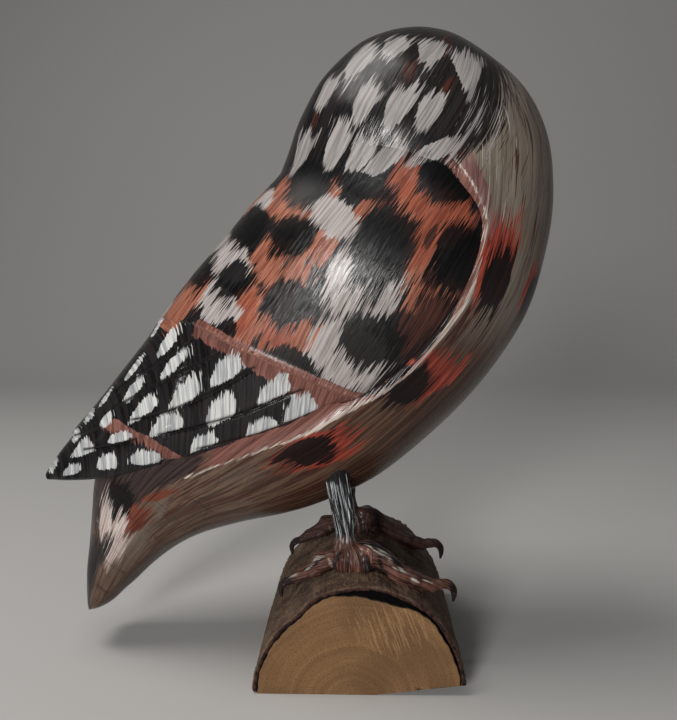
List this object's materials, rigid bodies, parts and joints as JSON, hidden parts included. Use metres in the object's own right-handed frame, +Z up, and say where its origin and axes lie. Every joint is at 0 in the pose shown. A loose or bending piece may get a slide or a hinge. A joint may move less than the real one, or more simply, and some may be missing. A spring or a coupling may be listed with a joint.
{
  "type": "carved wooden owl on a half log",
  "caption": "Carved and painted wooden owl, head turned to its left, wings folded over a wedge tail, perched on a half-round log with bark.",
  "frame": {"origin": "middle of the flat underside of the half log, on the surface that it stands on", "axes": "+Z up, +X the way the breast faces, +Y the bird's left, to which its face is turned, along the log"},
  "size_m": [0.2137, 0.1037, 0.2566],
  "materials": {
    "painted_feathers": "hand-painted in black, off-white, terracotta and grey-beige, semi-gloss varnish",
    "painted_feet": "painted red-brown with black and white strokes, semi-gloss",
    "bark_log": "natural bark outside, bare sawn wood at the ends, matt"
  },
  "bodies": {
    "root": {"owl_body": "painted_feathers", "right_leg": "painted_feet", "left_leg": "painted_feet", "half_log": "bark_log"}
  },
  "joints": []
}
